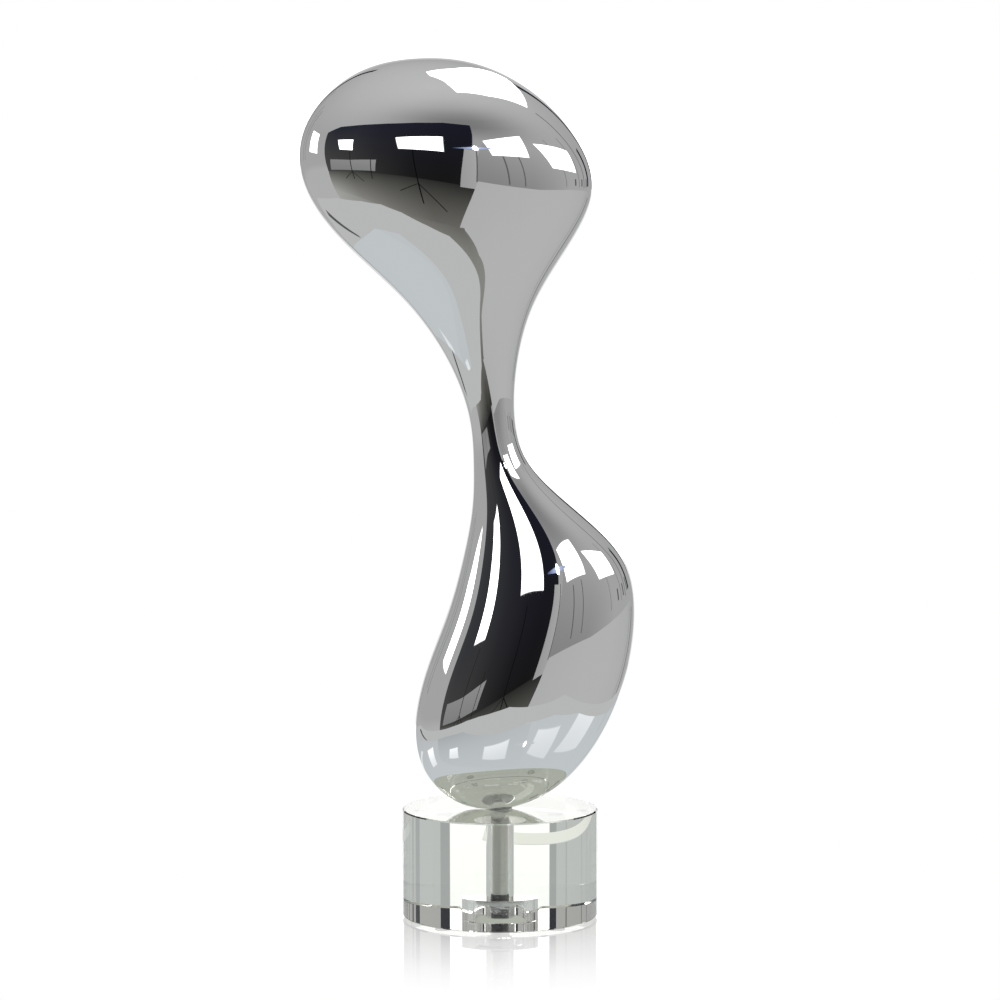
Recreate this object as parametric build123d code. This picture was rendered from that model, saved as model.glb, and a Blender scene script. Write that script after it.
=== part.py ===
"""Polished free-form table sculpture on a round crystal base.

A hollow polished form stands on a thick glass disc.  A steel rod is screwed into a boss inside the
form, runs down a bore in the glass, and is clamped by washers and a nut in a recess underneath.

Millimetres, +Z up.  The origin is on the table, on the axis of the rod and the glass disc.
The form leans along X; its front faces -Y.
"""

import os
from math import cos, pi, radians, sin

from build123d import *

# ---- glass base -------------------------------------------------------------------------------
GLASS_DIAMETER = 127.0
GLASS_HEIGHT = 70.0
GLASS_BEVEL = 0.8
BORE_DIAMETER = 12.0
RECESS_DIAMETER = 34.0
RECESS_DEPTH = 14.5

# ---- clear bumper feet under the glass --------------------------------------------------------
FOOT_COUNT = 4
FOOT_HEIGHT = 1.5
FOOT_TOP_DIAMETER = 10.0
FOOT_FACE_DIAMETER = 7.0
FOOT_CIRCLE_RADIUS = 52.0
FOOT_FIRST_ANGLE = 45.0

# ---- rod, fasteners and soft washers ----------------------------------------------------------
ROD_DIAMETER = 10.0
THREAD_PITCH = 1.5
THREAD_DEPTH = 0.9
ROD_TAIL_GAP = 0.5
ROD_TIP_CHAMFER = 0.8
ROD_ENGAGEMENT = 22.0
LOWER_THREAD_LENGTH = 15.0
WASHER_BORE = 10.5
CUSHION_DIAMETER = 33.0
CUSHION_THICKNESS = 1.0
CLAMP_DIAMETER = 32.0
CLAMP_THICKNESS = 2.0
CLAMP_EDGE_BREAK = 0.3
LOCK_DIAMETER = 18.1
LOCK_BORE = 10.2
LOCK_THICKNESS = 2.2
LOCK_SLOT = 2.0
LOCK_SLOT_ANGLE = 30.0
NUT_ACROSS_FLATS = 17.0
NUT_HEIGHT = 8.0
NUT_CROWN_ANGLE = 30.0
NUT_MOUTH_CHAMFER = 0.5
BUSH_HEIGHT = 2.5
GASKET_DIAMETER = 16.0
GASKET_THICKNESS = 0.5

# ---- hollow form ------------------------------------------------------------------------------
WALL = 4.0
SEAT_GRINDING = 1.0
BOSS_DIAMETER = 18.0
BOSS_HEIGHT = 30.0
BOSS_CHAMFER = 1.0
TAPPED_DEPTH = 26.0
NECK_WELD = 250.0
SECTIONS_PER_SPAN = 3
OVAL_POINTS = 16

# Control rows of the form's outline, from the crown down to the seat.  Each row is a level
# section: height above the lower pole, left edge, right edge, half depth.  The outline is the
# cubic B-spline of these rows, clamped at both ends.  Two rows at one height make a round pole.
FORM_ROWS = [
    (486.5, -44, -44, 0),
    (486.5, -75, -19, 15),
    (471, -108, 18, 38),
    (439, -131, 50, 61.5),
    (404, -129, 65, 61),
    (369, -104, 47, 53),
    (331, -58, 20, 36),
    (291, -31, 10, 22),
    (255, -18, 8, 17.5),
    (225, -17, 15, 20),
    (197, -17, 49, 30.5),
    (167, -23, 83, 42),
    (131, -32, 89, 51),
    (91, -49, 84, 54),
    (55, -57, 71, 51),
    (27, -53, 52, 43.5),
    (8, -36, 30, 24.5),
    (0, -20, 7, 8),
    (0, -3, -3, 0),
]

# ---- heights worked out from the dimensions above ---------------------------------------------
GLASS_BOTTOM = FOOT_HEIGHT
GLASS_TOP = GLASS_BOTTOM + GLASS_HEIGHT
RECESS_CEILING = GLASS_BOTTOM + RECESS_DEPTH
SEAT = GLASS_TOP + GASKET_THICKNESS
LOWER_POLE = SEAT - SEAT_GRINDING
CUSHION_BOTTOM = RECESS_CEILING - CUSHION_THICKNESS
CLAMP_BOTTOM = CUSHION_BOTTOM - CLAMP_THICKNESS
LOCK_BOTTOM = CLAMP_BOTTOM - LOCK_THICKNESS
NUT_BOTTOM = LOCK_BOTTOM - NUT_HEIGHT
ROD_BOTTOM = GLASS_BOTTOM + ROD_TAIL_GAP
ROD_TOP = SEAT + ROD_ENGAGEMENT


def upright(diameter, bottom, top):
    """A solid cylinder on the rod's axis."""
    disc = Cylinder(diameter / 2, top - bottom, align=(Align.CENTER, Align.CENTER, Align.MIN))
    return disc.translate((0, 0, bottom))


def ring(outer, inner, bottom, top):
    """A flat ring on the rod's axis."""
    return upright(outer, bottom, top) - upright(inner, bottom, top)


def spline_row(rows, place):
    """The row at a place along the clamped cubic B-spline of rows, place from 0 to spans."""
    spans = len(rows) - 3
    knots = [0] * 3 + list(range(spans + 1)) + [spans] * 3
    span = min(int(place), spans - 1) + 3
    work = [list(rows[span - 3 + i]) for i in range(4)]
    for level in range(1, 4):
        for i in range(3, level - 1, -1):
            low = knots[span - 3 + i]
            high = knots[span + 1 + i - level]
            share = (place - low) / (high - low)
            work[i] = [(1 - share) * a + share * b for a, b in zip(work[i - 1], work[i])]
    return work[3]


def oval(centre, half_width, half_depth):
    """A level ellipse as a smooth closed curve, all starting on the +X side so that they loft true."""
    points = []
    for number in range(OVAL_POINTS):
        turn = 2 * pi * number / OVAL_POINTS
        points.append(centre + Vector(half_width * cos(turn), half_depth * sin(turn), 0))
    marks = [number / OVAL_POINTS for number in range(OVAL_POINTS + 1)]
    return Wire([Edge.make_spline(points, periodic=True, parameters=marks)])


def lofted_form(rows):
    """A closed solid through level elliptical sections, with a round pole at each end."""
    spans = len(rows) - 3
    steps = spans * SECTIONS_PER_SPAN
    sections = []
    for step in range(steps + 1):
        height, left, right, half_depth = spline_row(rows, step * spans / steps)
        centre = Vector((left + right) / 2, 0, LOWER_POLE + height)
        if step in (0, steps):
            sections.append(Vertex(centre))
        else:
            sections.append(oval(centre, (right - left) / 2, half_depth))
    return Solid.make_loft(sections)


def cavity_rows():
    """The form's rows drawn in by the wall, sideways, in depth and at both poles."""
    tall = FORM_ROWS[0][0]
    squeeze = (tall - 2 * WALL) / tall
    rows = []
    for height, left, right, half_depth in FORM_ROWS:
        inset = WALL if half_depth > 0 else 0
        rows.append((WALL + height * squeeze, left + inset, right - inset, half_depth - inset))
    return rows


def solid_form():
    """The form as a solid, ground flat at the seat."""
    return lofted_form(FORM_ROWS) - upright(GLASS_DIAMETER, LOWER_POLE - WALL, SEAT)


def form_shells():
    """The hollow form's four shells by node name.

    They meet at the weld round the neck, its narrowest place, and on the plane of the outline.
    """
    boss_hole = upright(BOSS_DIAMETER, LOWER_POLE, SEAT + BOSS_HEIGHT)
    hollow = solid_form() - lofted_form(cavity_rows()) - boss_hole
    neck = Plane.XY.offset(LOWER_POLE + NECK_WELD)
    shells = {}
    for end, end_side in (("upper", Keep.TOP), ("lower", Keep.BOTTOM)):
        lobe = split(hollow, bisect_by=neck, keep=end_side)
        shells[f"{end}_front_shell"] = split(lobe, bisect_by=Plane.XZ, keep=Keep.TOP)
        shells[f"{end}_rear_shell"] = split(lobe, bisect_by=Plane.XZ, keep=Keep.BOTTOM)
    return shells


def threaded_boss():
    """The blind tapped boss welded into the seat, its foot flush with the outside of the form."""
    boss = upright(BOSS_DIAMETER, SEAT, SEAT + BOSS_HEIGHT)
    boss = chamfer(boss.edges().group_by(Axis.Z)[-1], BOSS_CHAMFER)
    boss = boss & solid_form()
    return boss - upright(ROD_DIAMETER, SEAT, SEAT + TAPPED_DEPTH)


def thread_grooves(bottom, top):
    """Ring grooves with the pitch and depth of the thread, between two heights on the rod."""
    half_pitch = THREAD_PITCH / 2
    crest = ROD_DIAMETER / 2
    grooves = []
    count = int((top - bottom) / THREAD_PITCH)
    for number in range(count):
        middle = bottom + (number + 0.5) * THREAD_PITCH
        outline = Polyline(
            (crest - THREAD_DEPTH, 0, middle),
            (crest + 0.1, 0, middle - half_pitch * 0.9),
            (crest + 0.1, 0, middle + half_pitch * 0.9),
            close=True,
        )
        grooves.append(revolve(make_face(outline), Axis.Z))
    return grooves


def mounting_rod():
    """The steel rod, threaded at both ends, plain where it crosses the glass."""
    rod = upright(ROD_DIAMETER, ROD_BOTTOM, ROD_TOP)
    rod = chamfer(rod.edges().filter_by(GeomType.CIRCLE), ROD_TIP_CHAMFER)
    lower_bottom = ROD_BOTTOM + ROD_TIP_CHAMFER
    for groove in thread_grooves(lower_bottom, ROD_BOTTOM + LOWER_THREAD_LENGTH):
        rod = rod - groove
    for groove in thread_grooves(SEAT, ROD_TOP - ROD_TIP_CHAMFER):
        rod = rod - groove
    return rod


def crystal_base():
    """The glass disc with bevelled rims, its bore and the recess under it."""
    glass = upright(GLASS_DIAMETER, GLASS_BOTTOM, GLASS_TOP)
    glass = chamfer(glass.edges().filter_by(GeomType.CIRCLE), GLASS_BEVEL)
    glass = glass - upright(BORE_DIAMETER, GLASS_BOTTOM, GLASS_TOP)
    return glass - upright(RECESS_DIAMETER, GLASS_BOTTOM, RECESS_CEILING)


def clamp_washer():
    """The wide steel washer that spreads the nut's load over the glass."""
    washer = ring(CLAMP_DIAMETER, WASHER_BORE, CLAMP_BOTTOM, CUSHION_BOTTOM)
    rims = washer.edges().filter_by(GeomType.CIRCLE).group_by(SortBy.RADIUS)[-1]
    return chamfer(rims, CLAMP_EDGE_BREAK)


def lock_washer():
    """The split spring washer, drawn flat as it is when tightened."""
    washer = ring(LOCK_DIAMETER, LOCK_BORE, LOCK_BOTTOM, CLAMP_BOTTOM)
    slot = Box(LOCK_DIAMETER, LOCK_SLOT, 4 * LOCK_THICKNESS)
    slot = slot.rotate(Axis.X, LOCK_SLOT_ANGLE)
    slot = slot.translate((LOCK_DIAMETER / 2, 0, LOCK_BOTTOM + LOCK_THICKNESS / 2))
    return washer - slot


def hex_nut():
    """The hexagon nut, crowned on both faces, with a chamfered mouth at each end."""
    hexagon = RegularPolygon(NUT_ACROSS_FLATS / 2, 6, major_radius=False)
    blank = extrude(hexagon, NUT_HEIGHT).translate((0, 0, NUT_BOTTOM))
    corner = NUT_ACROSS_FLATS / 2 / cos(radians(30))
    drop = (corner - NUT_ACROSS_FLATS / 2) * sin(radians(NUT_CROWN_ANGLE))
    crown = upright(2 * corner, NUT_BOTTOM, LOCK_BOTTOM)
    crown = chamfer(crown.edges().filter_by(GeomType.CIRCLE), drop, corner - NUT_ACROSS_FLATS / 2)
    nut = blank & crown
    nut = nut - upright(ROD_DIAMETER, NUT_BOTTOM, LOCK_BOTTOM)
    mouths = nut.edges().filter_by(GeomType.CIRCLE).group_by(SortBy.RADIUS)[0]
    return chamfer(mouths, NUT_MOUTH_CHAMFER)


def bumper_foot(angle):
    """One clear bumper: a low truncated dome stuck to the underside of the glass."""
    top = FOOT_TOP_DIAMETER / 2
    face = FOOT_FACE_DIAMETER / 2
    bulge = (face + (top - face) * 0.8, 0, FOOT_HEIGHT * 0.4)
    outline = [
        Line((0, 0, 0), (face, 0, 0)),
        ThreePointArc((face, 0, 0), bulge, (top, 0, FOOT_HEIGHT)),
        Line((top, 0, FOOT_HEIGHT), (0, 0, FOOT_HEIGHT)),
        Line((0, 0, FOOT_HEIGHT), (0, 0, 0)),
    ]
    foot = revolve(make_face(outline), Axis.Z)
    x = FOOT_CIRCLE_RADIUS * cos(radians(angle))
    y = FOOT_CIRCLE_RADIUS * sin(radians(angle))
    return foot.translate((x, y, 0))


def all_parts():
    """Every piece by its node name."""
    parts = form_shells() | {
        "threaded_boss": threaded_boss(),
        "mounting_rod": mounting_rod(),
        "seat_gasket": ring(GASKET_DIAMETER, WASHER_BORE, GLASS_TOP, SEAT),
        "crystal_base": crystal_base(),
        "centring_bush": ring(BORE_DIAMETER, ROD_DIAMETER, RECESS_CEILING, RECESS_CEILING + BUSH_HEIGHT),
        "cushion_washer": ring(CUSHION_DIAMETER, WASHER_BORE, CUSHION_BOTTOM, RECESS_CEILING),
        "clamp_washer": clamp_washer(),
        "lock_washer": lock_washer(),
        "hex_nut": hex_nut(),
    }
    for number in range(FOOT_COUNT):
        angle = FOOT_FIRST_ANGLE + number * 360 / FOOT_COUNT
        parts[f"bumper_foot_{number + 1}"] = bumper_foot(angle)
    return parts


os.makedirs("parts", exist_ok=True)
for name, shape in all_parts().items():
    export_step(shape, f"parts/{name}.step")
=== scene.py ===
"""The looks of a polished free-form sculpture on a round crystal base, in metres in the CAD frame."""

from math import cos, exp, pi, radians, sin

import bpy
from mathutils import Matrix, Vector


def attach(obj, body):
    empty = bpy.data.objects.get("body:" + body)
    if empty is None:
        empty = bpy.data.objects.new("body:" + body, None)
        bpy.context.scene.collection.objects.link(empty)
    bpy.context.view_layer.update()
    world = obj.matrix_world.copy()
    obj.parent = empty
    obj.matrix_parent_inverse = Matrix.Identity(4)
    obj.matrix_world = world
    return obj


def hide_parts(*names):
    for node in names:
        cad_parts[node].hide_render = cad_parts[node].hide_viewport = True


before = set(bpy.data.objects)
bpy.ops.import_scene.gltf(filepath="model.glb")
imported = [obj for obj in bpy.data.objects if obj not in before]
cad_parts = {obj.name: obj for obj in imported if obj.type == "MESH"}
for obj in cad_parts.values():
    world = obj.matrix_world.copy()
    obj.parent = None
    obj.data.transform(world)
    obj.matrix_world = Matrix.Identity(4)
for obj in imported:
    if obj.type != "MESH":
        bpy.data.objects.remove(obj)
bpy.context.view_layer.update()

MM = 0.001

# ---------------------------------------------------------------------------------- camera
CAMERA_DISTANCE = 2.400
CAMERA_HEIGHT = 0.4682
CAMERA_PITCH = 4.653
CAMERA_LENS = 133.87
CAMERA_SENSOR = 36.0

camera_data = bpy.data.cameras.new("camera")
camera_data.lens = CAMERA_LENS
camera_data.sensor_width = CAMERA_SENSOR
camera = bpy.data.objects.new("camera", camera_data)
camera.location = (0.0, -CAMERA_DISTANCE, CAMERA_HEIGHT)
camera.rotation_euler = (radians(90 - CAMERA_PITCH), 0, 0)
bpy.context.scene.collection.objects.link(camera)
bpy.context.scene.camera = camera


# ---------------------------------------------------------------------------------- helpers
def linear(tone):
    """Linear light of a display tone from 0 to 255."""
    level = tone / 255
    return level / 12.92 if level <= 0.04045 else ((level + 0.055) / 1.055) ** 2.4


def new_mesh(name, points, faces):
    """A linked, smooth-shaded mesh object of these points and faces."""
    mesh = bpy.data.meshes.new(name)
    mesh.from_pydata(points, [], faces)
    mesh.polygons.foreach_set("use_smooth", [True] * len(mesh.polygons))
    mesh.update()
    obj = bpy.data.objects.new(name, mesh)
    bpy.context.scene.collection.objects.link(obj)
    return obj


def new_material(name):
    """An empty node material and its node tree."""
    material = bpy.data.materials.new(name)
    material.use_nodes = True
    tree = material.node_tree
    tree.nodes.clear()
    return material, tree


def add_node(tree, kind, **values):
    """A new shader node, with attributes set by name and sockets set by their names."""
    node = tree.nodes.new(kind)
    for key, value in values.items():
        if hasattr(node, key):
            setattr(node, key, value)
        else:
            node.inputs[key.replace("_", " ")].default_value = value
    return node


def output_of(tree, shader, socket="Surface"):
    """Connects a shader's output to the material's output."""
    out = next((n for n in tree.nodes if n.bl_idname == "ShaderNodeOutputMaterial"), None)
    out = out or tree.nodes.new("ShaderNodeOutputMaterial")
    tree.links.new(shader, out.inputs[socket])


def revolved(name, rings, segments):
    """A closed surface of revolution about Z through (radius, height) rings in millimetres."""
    points, faces = [], []
    for radius, height in rings:
        for k in range(segments):
            turn = 2 * pi * k / segments
            points.append((radius * cos(turn) * MM, radius * sin(turn) * MM, height * MM))
    for ring in range(len(rings)):
        after = (ring + 1) % len(rings)
        for k in range(segments):
            k2 = (k + 1) % segments
            faces.append(
                (ring * segments + k, ring * segments + k2, after * segments + k2, after * segments + k)
            )
    return new_mesh(name, points, faces)


# ---------------------------------------------------------------------------------- materials
def polished_metal():
    """Mirror-bright plated casting, with the faint ripple that hand polishing leaves."""
    material, tree = new_material("polished_metal")
    place = add_node(tree, "ShaderNodeTexCoord")
    ripple = add_node(tree, "ShaderNodeTexNoise", Scale=26.0, Detail=2.0, Roughness=0.45)
    haze = add_node(tree, "ShaderNodeTexNoise", Scale=9.0, Detail=5.0, Roughness=0.6)
    spread = add_node(tree, "ShaderNodeMapRange", From_Min=0.35, From_Max=0.7, To_Min=0.012, To_Max=0.03)
    bump = add_node(tree, "ShaderNodeBump", Strength=0.35, Distance=0.00004)
    skin = add_node(tree, "ShaderNodeBsdfPrincipled")
    skin.inputs["Base Color"].default_value = (0.895, 0.898, 0.905, 1)
    skin.inputs["Metallic"].default_value = 1.0
    tree.links.new(place.outputs["Object"], ripple.inputs["Vector"])
    tree.links.new(place.outputs["Object"], haze.inputs["Vector"])
    tree.links.new(ripple.outputs["Fac"], bump.inputs["Height"])
    tree.links.new(haze.outputs["Fac"], spread.inputs["Value"])
    tree.links.new(spread.outputs["Result"], skin.inputs["Roughness"])
    tree.links.new(bump.outputs["Normal"], skin.inputs["Normal"])
    output_of(tree, skin.outputs["BSDF"])
    return material


def crystal_glass():
    """Clear optical glass, polished all over, with a trace of warm olive in its depth."""
    material, tree = new_material("crystal_glass")
    place = add_node(tree, "ShaderNodeTexCoord")
    ripple = add_node(tree, "ShaderNodeTexNoise", Scale=22.0, Detail=1.0)
    bump = add_node(tree, "ShaderNodeBump", Strength=0.2, Distance=0.00001)
    skin = add_node(tree, "ShaderNodeBsdfPrincipled")
    skin.inputs["Base Color"].default_value = (1, 1, 1, 1)
    skin.inputs["Roughness"].default_value = 0.0
    skin.inputs["IOR"].default_value = 1.517
    skin.inputs["Transmission Weight"].default_value = 1.0
    depth = add_node(tree, "ShaderNodeVolumeAbsorption", Density=3.0)
    depth.inputs["Color"].default_value = (0.93, 0.94, 0.76, 1)
    tree.links.new(place.outputs["Object"], ripple.inputs["Vector"])
    tree.links.new(ripple.outputs["Fac"], bump.inputs["Height"])
    tree.links.new(bump.outputs["Normal"], skin.inputs["Normal"])
    output_of(tree, skin.outputs["BSDF"])
    output_of(tree, depth.outputs["Volume"], "Volume")
    return material


def turned_metal(name, colour, smoothness, grain_scale, grain_depth, stretch):
    """Plain machined or plated metal, with fine tool marks round the axis."""
    material, tree = new_material(name)
    place = add_node(tree, "ShaderNodeTexCoord")
    squeeze = add_node(tree, "ShaderNodeMapping")
    squeeze.inputs["Scale"].default_value = stretch
    grain = add_node(tree, "ShaderNodeTexNoise", Scale=grain_scale, Detail=4.0, Roughness=0.6)
    tint = add_node(tree, "ShaderNodeMix", data_type="RGBA")
    tint.inputs[6].default_value = tuple(c * 0.86 for c in colour) + (1,)
    tint.inputs[7].default_value = tuple(colour) + (1,)
    spread = add_node(tree, "ShaderNodeMapRange", To_Min=smoothness * 0.75, To_Max=smoothness * 1.3)
    bump = add_node(tree, "ShaderNodeBump", Strength=0.5, Distance=grain_depth)
    skin = add_node(tree, "ShaderNodeBsdfPrincipled")
    skin.inputs["Metallic"].default_value = 1.0
    tree.links.new(place.outputs["Object"], squeeze.inputs["Vector"])
    tree.links.new(squeeze.outputs["Vector"], grain.inputs["Vector"])
    tree.links.new(grain.outputs["Fac"], tint.inputs["Factor"])
    tree.links.new(grain.outputs["Fac"], spread.inputs["Value"])
    tree.links.new(grain.outputs["Fac"], bump.inputs["Height"])
    tree.links.new(tint.outputs[2], skin.inputs["Base Color"])
    tree.links.new(spread.outputs["Result"], skin.inputs["Roughness"])
    tree.links.new(bump.outputs["Normal"], skin.inputs["Normal"])
    output_of(tree, skin.outputs["BSDF"])
    return material


def soft_plastic(name, colour, rough, clearness, grain_depth):
    """Moulded rubber, vinyl or nylon, with a fine skin texture."""
    material, tree = new_material(name)
    place = add_node(tree, "ShaderNodeTexCoord")
    grain = add_node(tree, "ShaderNodeTexNoise", Scale=900.0, Detail=3.0)
    mottle = add_node(tree, "ShaderNodeTexNoise", Scale=120.0, Detail=2.0)
    tint = add_node(tree, "ShaderNodeMix", data_type="RGBA")
    tint.inputs[6].default_value = tuple(c * 0.85 for c in colour) + (1,)
    tint.inputs[7].default_value = tuple(colour) + (1,)
    bump = add_node(tree, "ShaderNodeBump", Strength=0.4, Distance=grain_depth)
    skin = add_node(tree, "ShaderNodeBsdfPrincipled", Roughness=rough)
    skin.inputs["Transmission Weight"].default_value = clearness
    tree.links.new(place.outputs["Object"], grain.inputs["Vector"])
    tree.links.new(place.outputs["Object"], mottle.inputs["Vector"])
    tree.links.new(mottle.outputs["Fac"], tint.inputs["Factor"])
    tree.links.new(grain.outputs["Fac"], bump.inputs["Height"])
    tree.links.new(tint.outputs[2], skin.inputs["Base Color"])
    tree.links.new(bump.outputs["Normal"], skin.inputs["Normal"])
    output_of(tree, skin.outputs["BSDF"])
    return material


# ---------------------------------------------------------------------------------- the form
# Control rows of the form from the crown down: height, left, right and half depth in millimetres.
FORM_ROWS = [
    (486.5, -44, -44, 0),
    (486.5, -75, -19, 15),
    (471, -108, 18, 38),
    (439, -131, 50, 61.5),
    (404, -129, 65, 61),
    (369, -104, 47, 53),
    (331, -58, 20, 36),
    (291, -31, 10, 22),
    (255, -18, 8, 17.5),
    (225, -17, 15, 20),
    (197, -17, 49, 30.5),
    (167, -23, 83, 42),
    (131, -32, 89, 51),
    (91, -49, 84, 54),
    (55, -57, 71, 51),
    (27, -53, 52, 43.5),
    (8, -36, 30, 24.5),
    (0, -20, 7, 8),
    (0, -3, -3, 0),
]
LOWER_POLE = 71.0
SEAT = 72.02
RINGS_PER_SPAN = 26
FORM_SEGMENTS = 288


def spline_row(rows, place):
    """The row at a place along the clamped cubic B-spline of rows, place from 0 to spans."""
    spans = len(rows) - 3
    knots = [0] * 3 + list(range(spans + 1)) + [spans] * 3
    span = min(int(place), spans - 1) + 3
    work = [list(rows[span - 3 + i]) for i in range(4)]
    for level in range(1, 4):
        for i in range(3, level - 1, -1):
            low = knots[span - 3 + i]
            high = knots[span + 1 + i - level]
            share = (place - low) / (high - low)
            work[i] = [(1 - share) * a + share * b for a, b in zip(work[i - 1], work[i])]
    return work[3]


def seat_place():
    """The place along the spline where the form is ground flat, found by halving."""
    low, high = len(FORM_ROWS) - 4, len(FORM_ROWS) - 3
    for _ in range(40):
        middle = (low + high) / 2
        if LOWER_POLE + spline_row(FORM_ROWS, middle)[0] > SEAT:
            low = middle
        else:
            high = middle
    return low


def free_form():
    """The seamless polished form: level elliptical rings from the crown down to the flat seat."""
    spans = len(FORM_ROWS) - 3
    last = seat_place()
    steps = spans * RINGS_PER_SPAN
    height, left, right, _ = spline_row(FORM_ROWS, 0)
    points = [((left + right) / 2 * MM, 0, (LOWER_POLE + height) * MM)]
    faces = []
    for step in range(1, steps + 1):
        height, left, right, half_depth = spline_row(FORM_ROWS, last * step / steps)
        for k in range(FORM_SEGMENTS):
            turn = 2 * pi * k / FORM_SEGMENTS
            x = (left + right) / 2 + (right - left) / 2 * cos(turn)
            points.append((x * MM, half_depth * sin(turn) * MM, (LOWER_POLE + height) * MM))
    for k in range(FORM_SEGMENTS):
        faces.append((0, 1 + k, 1 + (k + 1) % FORM_SEGMENTS))
    for step in range(steps - 1):
        row = 1 + step * FORM_SEGMENTS
        for k in range(FORM_SEGMENTS):
            k2 = (k + 1) % FORM_SEGMENTS
            faces.append((row + k, row + FORM_SEGMENTS + k, row + FORM_SEGMENTS + k2, row + k2))
    rim = 1 + (steps - 1) * FORM_SEGMENTS
    faces.append(tuple(rim + FORM_SEGMENTS - 1 - k for k in range(FORM_SEGMENTS)))
    form = new_mesh("polished_form", points, faces)
    form.data.polygons[len(faces) - 1].use_smooth = False
    form.data.materials.append(polished_metal())
    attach(form, "root")
    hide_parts("upper_front_shell", "upper_rear_shell", "lower_front_shell", "lower_rear_shell")


# ---------------------------------------------------------------------------------- glass base
# Millimetres.  The glass stops short of the gasket, the bush, the cushion and the feet by the clearance.
CLEARANCE = 0.03
GLASS_RADIUS = 63.5
GLASS_BEVEL = 0.8
GLASS_BOTTOM = 1.5 + CLEARANCE
GLASS_TOP = 71.5 - CLEARANCE
BORE_RADIUS = 6.0 + CLEARANCE
RECESS_RADIUS = 17.0
RECESS_CEILING = 16.0 + CLEARANCE
BORE_BREAK = 0.25
GLASS_SEGMENTS = 512
EDGE_BAND = 0.02


def with_band(corners, width):
    """The rings of an outline, each corner guarded by two close rings so that shading stays crisp."""
    rings = []
    count = len(corners)
    for i, (radius, height) in enumerate(corners):
        before = Vector(corners[i - 1]) - Vector((radius, height))
        after = Vector(corners[(i + 1) % count]) - Vector((radius, height))
        for side in (before, after):
            reach = min(width, side.length * 0.3)
            near = Vector((radius, height)) + side.normalized() * reach
            rings.append((near.x, near.y))
            if side is before:
                rings.append((radius, height))
    return rings


def crystal_block():
    """The thick glass disc, with polished bevels, a bore and a recess under it."""
    outline = [
        (RECESS_RADIUS, GLASS_BOTTOM + BORE_BREAK),
        (RECESS_RADIUS + BORE_BREAK, GLASS_BOTTOM),
        (GLASS_RADIUS - GLASS_BEVEL, GLASS_BOTTOM),
        (GLASS_RADIUS, GLASS_BOTTOM + GLASS_BEVEL),
        (GLASS_RADIUS, GLASS_TOP - GLASS_BEVEL),
        (GLASS_RADIUS - GLASS_BEVEL, GLASS_TOP),
        (BORE_RADIUS + BORE_BREAK, GLASS_TOP),
        (BORE_RADIUS, GLASS_TOP - BORE_BREAK),
        (BORE_RADIUS, RECESS_CEILING),
        (RECESS_RADIUS, RECESS_CEILING),
    ]
    glass = revolved("crystal_block", with_band(outline, EDGE_BAND), GLASS_SEGMENTS)
    glass.data.materials.append(crystal_glass())
    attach(glass, "root")
    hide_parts("crystal_base")


# ---------------------------------------------------------------------------------- rod
# Millimetres.
ROD_RADIUS = 5.0
ROD_BOTTOM = 2.0
ROD_TOP = 94.0
ROD_TIP = 0.8
THREAD_PITCH = 1.5
THREAD_DEPTH = 0.9
LOWER_THREAD_TOP = 17.0
UPPER_THREAD_BOTTOM = 72.0
THREAD_FADE = 1.5
ROD_SEGMENTS = 96
THREAD_STEP = 0.125
PLAIN_STEP = 2.5


def rod_radius(height, turn):
    """The rod's radius at a height and a turn: a helical thread at each end, plain between."""
    into_lower = min(1.0, max(0.0, (LOWER_THREAD_TOP - height) / THREAD_FADE))
    into_upper = min(1.0, max(0.0, (height - UPPER_THREAD_BOTTOM) / THREAD_FADE))
    phase = (height / THREAD_PITCH - turn) % 1.0
    crest = min(1.0, max(0.0, 2.3 * abs(2 * phase - 1) - 0.55))
    radius = ROD_RADIUS - THREAD_DEPTH * (1 - crest) * max(into_lower, into_upper)
    tip = min(height - ROD_BOTTOM, ROD_TOP - height)
    return min(radius, ROD_RADIUS - max(0.0, ROD_TIP - tip))


def threaded_rod():
    """The steel rod with a true helical thread at each end."""
    heights = []
    height = ROD_BOTTOM
    while height < ROD_TOP - 1e-6:
        heights.append(height)
        plain = LOWER_THREAD_TOP <= height < UPPER_THREAD_BOTTOM - PLAIN_STEP
        height += PLAIN_STEP if plain else THREAD_STEP
    heights.append(ROD_TOP)
    points, faces = [], []
    for height in heights:
        for k in range(ROD_SEGMENTS):
            turn = k / ROD_SEGMENTS
            radius = rod_radius(height, turn)
            points.append(
                (radius * cos(2 * pi * turn) * MM, radius * sin(2 * pi * turn) * MM, height * MM)
            )
    for ring in range(len(heights) - 1):
        for k in range(ROD_SEGMENTS):
            k2 = (k + 1) % ROD_SEGMENTS
            low, high = ring * ROD_SEGMENTS, (ring + 1) * ROD_SEGMENTS
            faces.append((low + k, low + k2, high + k2, high + k))
    top = (len(heights) - 1) * ROD_SEGMENTS
    faces.append(tuple(ROD_SEGMENTS - 1 - k for k in range(ROD_SEGMENTS)))
    faces.append(tuple(top + k for k in range(ROD_SEGMENTS)))
    rod = new_mesh("threaded_rod", points, faces)
    for end in (-2, -1):
        rod.data.polygons[len(faces) + end].use_smooth = False
    rod.data.materials.append(
        turned_metal("rod_steel", (0.75, 0.76, 0.70), 0.30, 160.0, 0.00001, (1, 1, 6))
    )
    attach(rod, "root")
    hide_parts("mounting_rod")


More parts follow.
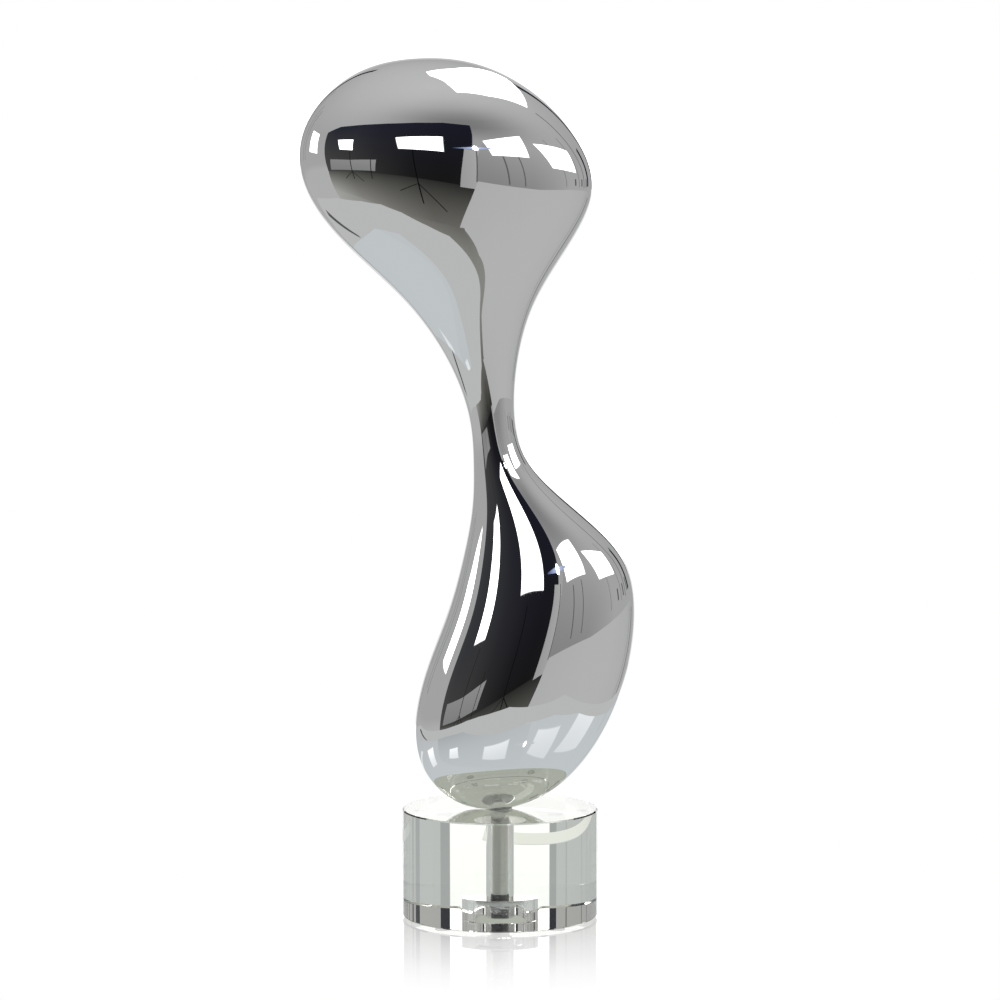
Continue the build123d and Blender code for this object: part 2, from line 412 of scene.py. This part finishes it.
# ---------------------------------------------------------------------------------- CAD nodes that stay
def dress_nodes():
    """Gives the CAD nodes that stay on show their finished materials."""
    plated = turned_metal("bright_plate", (0.80, 0.80, 0.80), 0.14, 220.0, 0.000008, (1, 1, 4))
    turned = turned_metal("turned_steel", (0.50, 0.50, 0.49), 0.35, 180.0, 0.00001, (1, 1, 8))
    clear = soft_plastic("clear_vinyl", (0.93, 0.95, 0.93), 0.12, 0.9, 0.000004)
    black = soft_plastic("black_rubber", (0.08, 0.08, 0.08), 0.6, 0.0, 0.00001)
    nylon = soft_plastic("pale_nylon", (0.74, 0.75, 0.73), 0.35, 0.0, 0.000006)
    finishes = {
        "threaded_boss": turned,
        "seat_gasket": clear,
        "centring_bush": black,
        "cushion_washer": nylon,
        "clamp_washer": plated,
        "lock_washer": plated,
        "hex_nut": plated,
    }
    for number in range(1, 5):
        finishes[f"bumper_foot_{number}"] = clear
    for name, material in finishes.items():
        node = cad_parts[name]
        for place in node.material_slots:
            place.material = material


# ---------------------------------------------------------------------------------- studio
# Bearings and rises are in degrees as seen from EYE; tones are display greys from 0 to 255.
EYE = Vector((0.0, -0.05, 0.495))
MIRROR = 0.9
ROOM_RADIUS = 6.5
ROOM_TURNS = 72
ROOM_RISES = [-90, -65, -40, -25, -10, -6, 0, 5, 12, 20, 30, 40, 47, 55, 62, 70, 80, 90]
SWEEP_BANDS = [(-60, 200), (-3, 216), (2.5, 322), (9.5, 322), (16, 190), (30, 184)]
NAVY = (28, 30, 40)
SOFTBOX_POWER = 4.0
SOFTBOX_BORDER = 0.09
OVERHEAD_HEIGHT = 1.9
OVERHEAD_POWER = 3.5
OVERHEAD_BORDER = 0.03
FLASH_PLACE = (18.3, 21)
FLASH_REACH = (1.7, 2.5)
FLASH_POWER = 60.0
FLASH_BORDER = 0.5
EDGE_LIGHT = 0.15
GLOSSY_SHEET = [
    (-0.55, 0.95), (-0.55, -0.19), (-0.51, -0.27), (-0.43, -0.37), (0.08, -0.33), (0.20, -0.25),
    (0.27, -0.12), (0.29, 0.10), (0.30, 0.95),
]
PALE_STRIP = [(0.03, 0.385), (0.03, 0.335), (-0.33, 0.215), (-0.33, 0.265)]
# Painted shadow: a dark strip on the table along the glossy sheet's left edge.
SHEET_EDGE_SHADOW = [(-0.553, 0.17), (-0.572, 0.17), (-0.86, 0.66), (-0.78, 0.70)]
SHADE_RADIUS = 0.0655
SHADE_CORNERS = 64
MATTE_TABLE = [
    (-1.10, 0.95), (-1.00, -0.02), (-0.84, -0.43), (-0.69, -0.64), (-0.50, -0.71), (-0.27, -0.70),
    (-0.09, -0.67), (0.07, -0.52), (0.21, -0.40), (0.31, -0.34), (0.36, 0.10), (0.40, 0.95),
]

# The camera's floor: its half size, and its share of shine between two distances from the axis.
FLOOR_REACH = 60.0
SHINE_START = 0.064
SHINE_END = 0.23
SHINE_STEPS = [(0.0, 0.45), (0.28, 0.28), (0.46, 0.20), (0.64, 0.10), (0.82, 0.04), (1.0, 0.0)]

# The plain grey of the room by rise, and a soft shade (centre, reach, depth) over its dark wall.
ROOM_LIGHT = [
    (90, 186), (70, 181), (55, 176), (40, 168), (20, 160), (5, 162), (-6, 162), (-10, 172), (-90, 176),
]
SHADE_CENTRE = (18, 52)
SHADE_REACH = (50, 17)
SHADE_DEPTH = 58


def at(bearing, rise, distance):
    """The point seen from the form at a bearing (0 to the camera, 90 to +X) and a rise, in degrees."""
    level = cos(radians(rise)) * distance
    return EYE + Vector(
        (
            sin(radians(bearing)) * level,
            -cos(radians(bearing)) * level,
            sin(radians(rise)) * distance,
        )
    )


def glow(tone):
    """The light that makes the polished metal show this grey, or (red, green, blue), from 0 to 255."""
    tones = tone if isinstance(tone, tuple) else (tone, tone, tone)
    return tuple(linear(t) / MIRROR for t in tones) + (1.0,)


def seen_by(obj, camera_rays):
    """Puts a studio object in the camera's view only, or in reflections and refractions only."""
    obj.visible_camera = camera_rays
    obj.visible_diffuse = not camera_rays
    obj.visible_glossy = not camera_rays
    obj.visible_transmission = not camera_rays
    obj.visible_shadow = False


def tone_material(name):
    """Plain studio surfaces: each glows with the tone stored on its points."""
    material, tree = new_material(name)
    tones = add_node(tree, "ShaderNodeVertexColor", layer_name="tone")
    light = add_node(tree, "ShaderNodeEmission")
    tree.links.new(tones.outputs["Color"], light.inputs["Color"])
    output_of(tree, light.outputs["Emission"])
    material.cycles.emission_sampling = "NONE"
    return material


def toned_mesh(name, material, points, tones, faces):
    """A studio surface whose points carry their own tones."""
    obj = new_mesh(name, points, faces)
    layer = obj.data.color_attributes.new("tone", "FLOAT_COLOR", "POINT")
    for i, tone in enumerate(tones):
        layer.data[i].color = tone
    obj.data.materials.append(material)
    seen_by(obj, False)


def mix(a, b, share):
    """The blend of two tuples, all of the second at a share of 1."""
    return tuple((1 - share) * x + share * y for x, y in zip(a, b))


def screen(name, material, distance, low_rail, high_rail, low_tones, high_tones):
    """A studio surface between a low and a high rail of (bearing, rise) points, with its tones."""
    across, up = 8, 10
    points, tones, faces = [], [], []
    columns = (len(low_rail) - 1) * across + 1
    for column in range(columns):
        piece = min(column // across, len(low_rail) - 2)
        share = column / across - piece
        low = mix(low_rail[piece], low_rail[piece + 1], share)
        high = mix(high_rail[piece], high_rail[piece + 1], share)
        low_tone = mix(glow(low_tones[piece]), glow(low_tones[piece + 1]), share)
        high_tone = mix(glow(high_tones[piece]), glow(high_tones[piece + 1]), share)
        for row in range(up + 1):
            points.append(at(*mix(low, high, row / up), distance))
            tones.append(mix(low_tone, high_tone, row / up))
    for column in range(columns - 1):
        for row in range(up):
            a = column * (up + 1) + row
            faces.append((a, a + up + 1, a + up + 2, a + 1))
    toned_mesh(name, material, points, tones, faces)


def stand(name, material, distance, foot, head, width, tone):
    """A thin upright between a foot and a head, each (bearing, rise)."""
    low = [(foot[0] - width / 2, foot[1]), (foot[0] + width / 2, foot[1])]
    high = [(head[0] - width / 2, head[1]), (head[0] + width / 2, head[1])]
    screen(name, material, distance, low, high, [tone, tone], [tone, tone])


def lamp(name, strength, corners, border):
    """A white light face through (bearing, rise, distance) corners that dims over a narrow border."""
    count = len(corners)
    outer = [at(*corner) for corner in corners]
    centre = sum(outer, Vector()) / count
    inner = [point.lerp(centre, border) for point in outer]
    faces = [tuple(range(count, 2 * count))]
    for k in range(count):
        after = (k + 1) % count
        faces.append((k, after, after + count, k + count))
    obj = new_mesh(name, outer + inner, faces)
    layer = obj.data.color_attributes.new("tone", "FLOAT_COLOR", "POINT")
    for k in range(2 * count):
        power = EDGE_LIGHT if k < count else strength
        layer.data[k].color = (power, power, power, 1)
    material = tone_material(name)
    material.cycles.emission_sampling = "AUTO"
    obj.data.materials.append(material)
    seen_by(obj, False)


def room_tone(bearing, rise):
    """The grey of the room in one direction."""
    for (high, high_tone), (low, low_tone) in zip(ROOM_LIGHT, ROOM_LIGHT[1:]):
        if rise >= low:
            plain = low_tone + (high_tone - low_tone) * (rise - low) / (high - low)
            break
    across = (bearing - SHADE_CENTRE[0]) / SHADE_REACH[0]
    up = (rise - SHADE_CENTRE[1]) / SHADE_REACH[1]
    return plain - SHADE_DEPTH * exp(-across * across - up * up)


def room(material):
    """Pale walls, floor and ceiling all round."""
    points, tones, faces = [], [], []
    for rise in ROOM_RISES:
        for k in range(ROOM_TURNS):
            bearing = 360 * k / ROOM_TURNS - 180
            points.append(at(bearing, rise, ROOM_RADIUS))
            tones.append(glow(room_tone(bearing, rise)))
    for low in range(0, (len(ROOM_RISES) - 1) * ROOM_TURNS, ROOM_TURNS):
        high = low + ROOM_TURNS
        for k in range(ROOM_TURNS):
            k2 = (k + 1) % ROOM_TURNS
            faces.append((low + k, low + k2, high + k2, high + k))
    toned_mesh("room", material, points, tones, faces)


def set_pieces(material):
    """The bright sweep and its flags behind the object, and the dark wall, bench and stands in front."""
    for (low, low_tone), (high, high_tone) in zip(SWEEP_BANDS, SWEEP_BANDS[1:]):
        screen(
            f"sweep_{high}", material, 6.0,
            [(158.7, low), (180, low), (201, low)], [(158.7, high), (180, high), (201, high)],
            [low_tone] * 3, [high_tone] * 3,
        )
    stand("right_flag", material, 4.0, (156.1, -2), (156.1, 45), 5.2, NAVY)
    stand("left_flag", material, 4.0, (-157.2, -2), (-157.2, 45), 3.6, NAVY)
    stand("second_flag", material, 4.0, (134, -2), (134, 20), 5.0, NAVY)
    stand("left_seam", material, 4.5, (-157.5, -34), (-158.4, -3), 1.1, 80)
    stand("right_seam", material, 4.5, (157.5, -34), (158.0, -3), 1.1, 80)
    stand("left_line", material, 4.5, (-146, -36), (-149, -3), 0.7, 112)
    stand("rear_edge", material, 4.5, (139, -32), (141, -8), 2.2, 100)
    stand("rear_line", material, 4.5, (130, -34), (133, -8), 0.8, 128)
    for bearing in (-149, -135, -128):
        stand(f"thin_flag{bearing}", material, 4.0, (bearing, -2), (bearing, 30), 0.8, (96, 98, 104))
    screen(
        "dark_wall", material, 5.0,
        [(-84, -13), (-76, -13), (-60, -13), (-40, -13), (-20, -13), (-4, -13), (8.5, -13)],
        [(-89, 23), (-77, 32), (-56, 39), (-38, 44), (-16, 49), (4, 51.5), (24, 50)],
        [(72, 72, 70), (66, 66, 64), (60, 60, 57), (44, 44, 43), (26, 26, 26), (22, 22, 22), (24, 24, 24)],
        [(46, 48, 52), (36, 38, 48), (36, 38, 48), (30, 31, 42), (30, 31, 42), (26, 27, 38), (24, 25, 36)],
    )
    screen(
        "side_wall", material, 5.6,
        [(8, -14), (50, -14), (88, -12)], [(24, 27), (56, 27), (96, 25)], [124, 132, 160], [150, 158, 164],
    )
    screen(
        "dark_floor", material, 4.9,
        [(-86, -24), (-60, -28), (-35, -31), (-12, -32), (3, -32)],
        [(-84, -12), (-60, -12), (-35, -12), (-12, -12), (15, -12)],
        [(160, 160, 156), (132, 131, 126), (116, 115, 110), (100, 99, 94), (100, 99, 94)],
        [(84, 84, 81), (66, 66, 63), (52, 52, 50), (42, 42, 40), (36, 36, 35)],
    )
    screen(
        "near_floor", material, 4.9,
        [(-86, -60), (-35, -60), (30, -60), (60, -60)],
        [(-86, -24), (-35, -31), (3, -32), (20, -32)],
        [(168, 168, 164), (158, 158, 153), (158, 158, 153), (158, 158, 153)],
        [(160, 160, 156), (116, 115, 110), (100, 99, 94), (120, 119, 114)],
    )
    screen(
        "bench", material, 4.8,
        [(-80, -11), (-60, -11), (-41, -10.5)], [(-79, -2.5), (-60, -2.5), (-39, -1)],
        [126, 126, 128], [134, 136, 140],
    )
    screen(
        "edge_strip", material, 4.7,
        [(5.5, -13), (14.5, -13)], [(12, 19), (18.5, 19)], [152, 160], [158, 166],
    )
    screen(
        "pale_board", material, 4.6,
        [(6.5, -33), (18, -41), (36, -46), (60, -52), (90, -54), (120, -44), (150, -36)],
        [(5, -29), (11, -18), (15.5, -8.5), (57, -9.5), (90, -7.5), (120, -6), (150, -5)],
        [176, 176, 178, 178, 178, 176, 168], [172, 172, 172, 176, 176, 172, 158],
    )
    stand("strip_edge", material, 4.5, (14.8, -9), (18.8, 19), 0.6, 78)
    stand("stand_2", material, 3.0, (-59, -17), (-59, 8), 0.7, 34)
    stand("stand_3", material, 3.0, (-17, -18), (-17, 12), 0.7, 12)
    stand("stand_1", material, 3.0, (-45, -16), (-43, 0), 0.6, 30)
    for foot in ((-29, -20), (-4, -26), (-17, -24)):
        stand(f"leg_{foot[0]}", material, 3.0, foot, (-17, -15), 0.8, 20)
    for foot in ((-67, -17), (-52, -18)):
        stand(f"leg_{foot[0]}", material, 3.0, foot, (-59, -12), 0.7, 34)
    stand("stand_4", material, 3.0, (34, -8), (34, 16), 1.0, 92)
    stand("stand_5", material, 3.0, (45, -8), (45, 18), 0.9, 96)
    stand("stand_6", material, 3.0, (86, -5), (83, 36), 0.9, 122)
    stand("stand_7", material, 3.0, (109, -4), (106, 34), 1.0, 112)
    stand("stand_8", material, 3.0, (121, -4), (120, 46), 2.0, 116)
    for bearing in (101, 115, 128):
        stand(f"case_{bearing}", material, 2.9, (bearing, -3), (bearing, 3), 2.6, 84)


def lamps(material):
    """Five soft boxes in a ring, one overhead, and a small bare flash with its glare."""
    glare = [(56, 64, 100), (190, 206, 246), (120, 130, 160)]
    screen(
        "flash_glare", material, 1.95,
        [(5, 18.4), (18, 19.7), (32, 23.2)], [(5, 18.8), (18, 22.5), (32, 23.8)], glare, glare,
    )
    softboxes = [
        [(-114, 3, 2.3), (-98, 2, 2.3), (-101, 19, 2.3), (-117, 19, 2.3)],
        [(-69, 7, 2.2), (-57, 7, 2.2), (-58, 19, 2.2), (-73, 17, 2.2)],
        [(-26, 12, 2.0), (0, 13, 2.0), (1, 32, 2.0), (-28.5, 26, 2.0)],
        [(27, 15, 2.0), (54, 18, 2.0), (60, 40, 2.0), (25, 31, 2.0)],
        [(72, 11, 1.8), (105, 8, 1.8), (108, 25, 1.8), (66, 33, 1.8)],
    ]
    for number, corners in enumerate(softboxes, 1):
        lamp(f"softbox_{number}", SOFTBOX_POWER, corners, SOFTBOX_BORDER)
    flash = []
    for k in range(12):
        bearing = FLASH_PLACE[0] + FLASH_REACH[0] * cos(k * pi / 6)
        flash.append((bearing, FLASH_PLACE[1] + FLASH_REACH[1] * sin(k * pi / 6), 1.9))
    lamp("bare_flash", FLASH_POWER, flash, FLASH_BORDER)
    outline = [
        (78, 82), (104, 69), (120, 50), (163, 32), (166, 34), (170, 60), (-170, 71), (-170, 77), (160, 82),
    ]
    corners = [(bearing, rise, OVERHEAD_HEIGHT / sin(radians(rise))) for bearing, rise in outline]
    lamp("overhead", OVERHEAD_POWER, corners, OVERHEAD_BORDER)


def table(name, outline, height, tones, shine):
    """A table surface as reflections and refractions see it: its own tone and a share of gloss."""
    obj = new_mesh(name, [(x, y, height) for x, y in outline], [tuple(range(len(outline)))])
    material, tree = new_material(name)
    own = add_node(tree, "ShaderNodeEmission", Strength=1.0)
    own.inputs["Color"].default_value = glow(tones)
    surface = own.outputs["Emission"]
    if shine:
        fresnel = add_node(tree, "ShaderNodeFresnel", IOR=1.5)
        gloss = add_node(tree, "ShaderNodeBsdfGlossy", Roughness=0.03)
        gloss.inputs["Color"].default_value = (1, 1, 1, 1)
        both = add_node(tree, "ShaderNodeMixShader")
        tree.links.new(fresnel.outputs["Fac"], both.inputs["Fac"])
        tree.links.new(own.outputs["Emission"], both.inputs[1])
        tree.links.new(gloss.outputs["BSDF"], both.inputs[2])
        surface = both.outputs["Shader"]
    output_of(tree, surface)
    material.cycles.emission_sampling = "NONE"
    obj.data.materials.append(material)
    seen_by(obj, False)


def floor():
    """The plain pale floor that the camera sees, with a soft shine that fades away from the base."""
    far = FLOOR_REACH
    corners = [(-far, -far, 0), (far, -far, 0), (far, far, 0), (-far, far, 0)]
    obj = new_mesh("floor", corners, [(0, 1, 2, 3)])
    material, tree = new_material("pale_floor")
    place = add_node(tree, "ShaderNodeNewGeometry")
    reach = add_node(tree, "ShaderNodeVectorMath", operation="LENGTH")
    span = add_node(tree, "ShaderNodeMapRange", From_Min=SHINE_START, From_Max=SHINE_END)
    fade = add_node(tree, "ShaderNodeValToRGB")
    while len(fade.color_ramp.elements) < len(SHINE_STEPS):
        fade.color_ramp.elements.new(0.5)
    for element, (position, share) in zip(fade.color_ramp.elements, SHINE_STEPS):
        element.position = position
        element.color = (share, share, share, 1)
    own = add_node(tree, "ShaderNodeEmission", Strength=1.0)
    own.inputs["Color"].default_value = (1, 1, 1, 1)
    gloss = add_node(tree, "ShaderNodeBsdfGlossy", Roughness=0.02)
    gloss.inputs["Color"].default_value = (1, 1, 1, 1)
    both = add_node(tree, "ShaderNodeMixShader")
    tree.links.new(place.outputs["Position"], reach.inputs[0])
    tree.links.new(reach.outputs["Value"], span.inputs["Value"])
    tree.links.new(span.outputs["Result"], fade.inputs["Fac"])
    tree.links.new(fade.outputs["Color"], both.inputs["Fac"])
    tree.links.new(own.outputs["Emission"], both.inputs[1])
    tree.links.new(gloss.outputs["BSDF"], both.inputs[2])
    output_of(tree, both.outputs["Shader"])
    material.cycles.emission_sampling = "NONE"
    obj.data.materials.append(material)
    seen_by(obj, True)


def studio():
    """Pale floor and backdrop, soft boxes, and a plain room for the polished metal to mirror."""
    tones = tone_material("studio_tones")
    room(tones)
    set_pieces(tones)
    lamps(tones)
    table("glossy_sheet", GLOSSY_SHEET, -0.0006, (192, 197, 199), True)
    table("pale_strip", PALE_STRIP, -0.0003, (226, 228, 224), False)
    table("matte_table", MATTE_TABLE, -0.01, (182, 183, 182), False)
    # A dark strip of painted shadow beside the glossy sheet's left edge.
    table("sheet_edge_shadow", SHEET_EDGE_SHADOW, -0.0002, (84, 85, 84), False)
    turns = [2 * pi * k / SHADE_CORNERS for k in range(SHADE_CORNERS)]
    shade = [(SHADE_RADIUS * cos(turn), SHADE_RADIUS * sin(turn)) for turn in turns]
    table("contact_shade", shade, -0.0001, (168, 172, 163), False)
    floor()
    world = bpy.data.worlds.new("backdrop")
    world.use_nodes = True
    world.node_tree.nodes["Background"].inputs["Color"].default_value = (1, 1, 1, 1)
    bpy.context.scene.world = world
    bpy.context.scene.view_settings.view_transform = "Standard"


free_form()
crystal_block()
threaded_rod()
dress_nodes()
studio()
